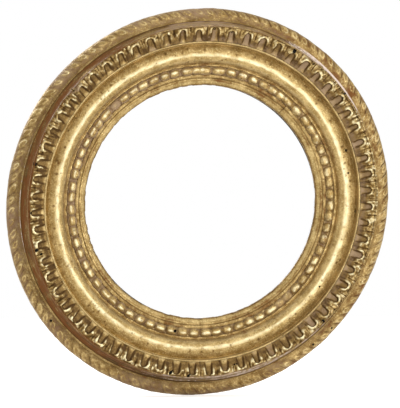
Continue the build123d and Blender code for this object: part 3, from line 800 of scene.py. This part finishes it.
def leafWear(angle, rise, masks):
    b, tongue, inLeaf = leafBand, masks["tongue"], masks["betweenTongues"]
    bareSide = 0.5 + 0.5 * np.tanh(2.2 * np.cos(np.radians(degreesFrom(angle, 20))) + 0.3)
    ridge = np.clip(summed(b["ridge"], masks), 0, 1.1) * rise["ridge"] * inLeaf * (1 - 0.7 * masks["valley"])
    bright = ridge * (1 - 0.7 * masks["nicks"]) * (1 - 0.35 * masks["dullTop"])
    lineBottom = hill(masks["fromTips"] - 0.65 * masks["worn"], 0.55) * (0.95 + 0.4 * masks["crumbs"])
    return {
        "tongueMouth": tongue * rise["mouth"],
        "tongueRoot": tongue * rise["root"],
        "floor": tongue * (1 - masks["groove"]),
        "root": inLeaf * rise["foot"],
        "innerHalf": inLeaf * rise["inside"],
        "ridge": ridge,
        "bright": bright * (0.85 + 0.2 * masks["rubOwn"]),
        "bareSide": bareSide,
        "dirtySide": (1 - bareSide) * (1 - ridge) * rise["dirt"],
        "knock": masks["chalkKnock"] * rise["knock"],
        "tipShadow": hill(masks["fromTips"], 0.35),
        # the pale line at the bottom is partly worn and partly a painted highlight
        "lineBottom": masks["bareAndLitBottom"] * lineBottom,
        "lineLeft": masks["bareLeft"] * hill(masks["fromTips"] - 0.35, 0.3),
    }


def leafBandMasks(outline, angle, masks):
    # v is 0 at the inner edge of the band and 1 at the outer
    v = np.where(masks["top"] > 0, 1 - outline["share"][None, :], masks["end"])
    rise = {word: smooth(*limits, v) for word, limits in leafBand["outwards"].items()}
    carving = leafCarving(outline, angle, v, rise, masks)
    return {**carving, **leafWear(angle, rise, {**masks, **carving})}


# Pearl string: hand-cut cushions, some of them never parted from their neighbour

pearlString = {
    "joint": 41.0, "steps": 470, "limits": (-0.6, 4.0),
    "section": [
        ("under", (82.1, 13.8), (86.9, 13.8), 0, 4),
        ("outside", (86.9, 13.9), (86.9, 14.5), 0, 1),
        ("top", (86.8, 14.6), (82.2, 14.6), 0, 44),
        ("inside", (82.1, 14.5), (82.1, 13.9), 0, 1),
    ],
    "pierced": ("top",), "holesBetween": (82, 87),
    "pearls": 72, "seed": 33, "middle": 84.5, "rise": 3.6, "halfLength": 3.6, "halfWidth": 2.5,
    "squareness": 3.2, "fullness": 0.55, "joined": (8, 9, 16, 17, 27, 44, 60), "low": (26, 61, 62),
    # how a pearl that was never parted from the next, and then that next one, moves and stretches
    "joinedMoves": (0.22, 1.3), "nextMoves": (0.12, 0.95), "lowShare": 0.6,
    "aside": 0.006, "longer": 0.07, "skewed": 0.05, "inwards": 0.12, "wider": 0.05, "height": (0.93, 0.06),
    # a painted highlight line along each crown, away from the right, and a darker band at each pearl's foot
    "highlightLine": (0.3, 0.8), "foot": (0.6, 0.5),
    "noise": {"grain": (34, 1.5, 1.2), "swell": (35, 5, 4), "dirt": (36, 3, 2), "clouds": (37, 7, 4),
              "scuffs": (38, 2.4, 1.8)},
    # the spot at the right paints the pearls brighter: painted highlight
    "spots": {"held": (0, 55), "mauve": (150, 70)},
    "relief": {"top pearls": 1.0, "top raised grain": 0.14, "top raised swell": 0.06, "top hole": -2.2},
    "marks": {
        "grimeAndShade": {"all": 0.42, "crown": -0.1, "foot": 0.3, "dirt": 0.25},
        # rubbing, and painted highlight: the crowns brighter at the right and a bright line along each crown
        # elsewhere
        "rubbedAndHighlight": {"crown crown held": 0.3, "crown crown line": 0.8, "scuffs": 0.45},
        "clay": {"all": 0.3, "clouds": 0.2},
        "chalk": {"gaps": 0.55, "gaps mauve": 0.25},
    },
}


def pearlHeights(angle, across):
    b = pearlString
    pitch = fullTurn / b["pearls"]
    draws = np.random.default_rng(b["seed"]).uniform(-1, 1, (b["pearls"], 6))
    plainHeight, moreHeight = b["height"]
    height = np.zeros(np.broadcast(angle, across).shape)
    for number, (aside, longer, skewed, inwards, wider, higher) in enumerate(draws):
        middle = (number + 0.5) * pitch + aside * b["aside"]
        halfLength = b["halfLength"] * (1 + b["longer"] * longer)
        for joined, (move, stretch) in ((number, b["joinedMoves"]), (number - 1, b["nextMoves"])):
            if joined in b["joined"]:
                middle, halfLength = middle + pitch * move, halfLength * stretch
        gap = np.radians(degreesFrom(angle, math.degrees(middle))) * b["middle"]
        if np.abs(gap).min() > halfLength:
            continue
        x = gap / halfLength + across * skewed * b["skewed"]
        y = (across - inwards * b["inwards"]) / (b["halfWidth"] * (1 + b["wider"] * wider))
        fill = np.clip(1 - np.abs(x) ** b["squareness"] - np.abs(y) ** b["squareness"], 0, 1)
        rise = b["rise"] * (b["lowShare"] if number in b["low"] else 1.0)
        height = np.maximum(height, rise * (plainHeight + moreHeight * higher) * fill ** b["fullness"])
    return height


def pearlStringMasks(outline, angle, masks):
    b, held = pearlString, masks["held"]
    across = (outline["points"][:, 0] - b["middle"])[None, :]
    height = pearlHeights(angle, across)
    # the crown is wider at the right, where the pearls are painted brighter
    crown = smooth(1.8 - 0.8 * held, 3.3 - 0.1 * held, height)
    lineAt, lineWidth = b["highlightLine"]
    footHeight, footWidth = b["foot"]
    return {
        "pearls": height,
        "raised": smooth(0, 0.8, height),
        "crown": crown,
        "gaps": 1 - crown,
        "foot": hill(height - footHeight, footWidth),
        # away from the right only a line along each crown is lightened, as a painted highlight
        "line": hill(across - lineAt, lineWidth) * (1 - held),
    }


def makeQuarters(nodeName, ring, ownMasks):
    outline = outlineOf(ring["section"])
    made = []
    for number, word in enumerate(quarterNames):
        angles = math.radians(ring["joint"]) + fullTurn / 4 * (number + np.linspace(0, 1, ring["steps"] + 1))
        masks = masksOf(ring, outline, angles[:, None])
        masks.update(ownMasks(outline, angles[:, None], masks))
        lift = np.clip(summed(ring["relief"], masks), *ring["limits"])
        marks = {mark: summed(rows, masks) for mark, rows in ring["marks"].items()}
        marks["hole"] = masks["hole"]
        name = f"{nodeName}_{word}_carved"
        piece = sweptQuarter(name, outline, angles, lift, marks, ring.get("trueBelow"))
        piece.data.materials.append(gilt)
        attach(piece, "frame")
        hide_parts(f"{nodeName}_{word}")
        made.append(piece)
    print(nodeName, "made,", len(made[0].data.polygons), "faces a quarter")
    return made


bareWood = np.isin(outlineOf(backRing["section"])["names"], backRing["bareWood"])
for piece in makeQuarters("back_ring", backRing, backRingMasks):
    piece.data.materials.append(plain["bareLimeWood"])
    # the two end faces of a quarter are bare wood too
    slots = np.concatenate([np.tile(bareWood, backRing["steps"]), [True, True]]).astype(np.int32)
    piece.data.polygons.foreach_set("material_index", slots)
makeQuarters("front_ring", frontRing, frontRingMasks)
makeQuarters("leaf_band", leafBand, leafBandMasks)
makeQuarters("pearl_string", pearlString, pearlStringMasks)


# The glass, the paper and the brass and steel fittings keep their own shapes

fittings = {
    "glass_pane": glassMaterial("drawnSheetGlass"),
    "glass_tape": plain["gummedPaper"],
    "hanger_plate": plain["sheetBrass"],
    "hanging_ring": plain["brassWire"],
    "button_screws": plain["oxidisedSteel"],
    "hanger_screws": plain["oxidisedSteel"],
}
for word in quarterNames:
    fittings["turn_button_" + word] = plain["sheetBrass"]
for nodeName, material in fittings.items():
    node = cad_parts[nodeName]
    node.data.materials.clear()
    node.data.materials.append(material)
print("fittings finished")


# Studio: a pale floor, a white surround and soft lamps

studio = {
    "floorBelow": 125.2, "floorSize": 3200, "floorColour": "#F2F1EE", "floorRough": 0.9, "floorGlow": 0.6,
    "worldLevel": 0.7, "cameraTurn": -9.4, "cameraAway": 2400, "frameWidth": 257.2,
    "aim": (-0.7, -14, -1.6), "sensor": 36,
    "lamps": [
        {"name": "key", "place": (500, -1150, 130), "size": 300, "power": 4.5},
        {"name": "high", "place": (250, -800, 900), "size": 600, "power": 2.0},
        {"name": "rear", "place": (-500, 900, 600), "size": 600, "power": 6},
    ],
}


def seenPlainly(tree):
    # 1 for rays that come from the camera, a reflection or the glass, and 0 for rays that light things
    most = 0.0
    for ray in ("Is Camera Ray", "Is Glossy Ray", "Is Transmission Ray"):
        most = addMath(tree, "MAXIMUM", most, addNode(tree, "ShaderNodeLightPath", ray, {}))
    return most


def makeFloor():
    half, low = studio["floorSize"] / 2 * mm, -studio["floorBelow"] * mm
    mesh = bpy.data.meshes.new("floor")
    corners = [(-half, -half, low), (half, -half, low), (half, half, low), (-half, half, low)]
    mesh.from_pydata(corners, [], [(0, 1, 2, 3)])
    floor = bpy.data.objects.new("floor", mesh)
    bpy.context.scene.collection.objects.link(floor)
    material, tree = newMaterial("paleFloor")
    glow = addMath(tree, "MULTIPLY", seenPlainly(tree), studio["floorGlow"])
    addSurface(tree, {"Base Color": linear(studio["floorColour"]), "Roughness": studio["floorRough"],
                      "Specular IOR Level": 0.0, "Emission Color": linear("#FFFFFF"),
                      "Emission Strength": glow})
    floor.data.materials.append(material)


def makeWorld():
    world = bpy.data.worlds.new("studio")
    bpy.context.scene.world = world
    world.use_nodes = True
    tree = world.node_tree
    tree.nodes.clear()
    level = addRange(tree, seenPlainly(tree), studio["worldLevel"], 1.0)
    sky = addNode(tree, "ShaderNodeBackground", 0, {"Color": linear("#FFFFFF"), "Strength": level})
    addNode(tree, "ShaderNodeOutputWorld", 0, {"Surface": sky})


def makeLamps():
    for look in studio["lamps"]:
        data = bpy.data.lights.new(look["name"], "AREA")
        data.size, data.energy = look["size"] * mm, look["power"]
        lamp = bpy.data.objects.new(look["name"], data)
        lamp.location = Vector(look["place"]) * mm
        lamp.rotation_euler = (-lamp.location).to_track_quat("-Z", "Y").to_euler()
        bpy.context.scene.collection.objects.link(lamp)


def makeCamera():
    turn = math.radians(studio["cameraTurn"])
    target = Vector(studio["aim"]) * mm
    data = bpy.data.cameras.new("camera")
    data.sensor_fit = "HORIZONTAL"
    data.sensor_width = studio["sensor"]
    data.lens = studio["sensor"] * studio["cameraAway"] / studio["frameWidth"]
    camera = bpy.data.objects.new("camera", data)
    camera.location = target + Vector((math.sin(turn), -math.cos(turn), 0)) * studio["cameraAway"] * mm
    camera.rotation_euler = (target - camera.location).to_track_quat("-Z", "Y").to_euler()
    bpy.context.scene.collection.objects.link(camera)
    bpy.context.scene.camera = camera


makeFloor()
makeWorld()
makeLamps()
makeCamera()
bpy.context.scene.view_settings.view_transform = "Standard"
print("studio ready")
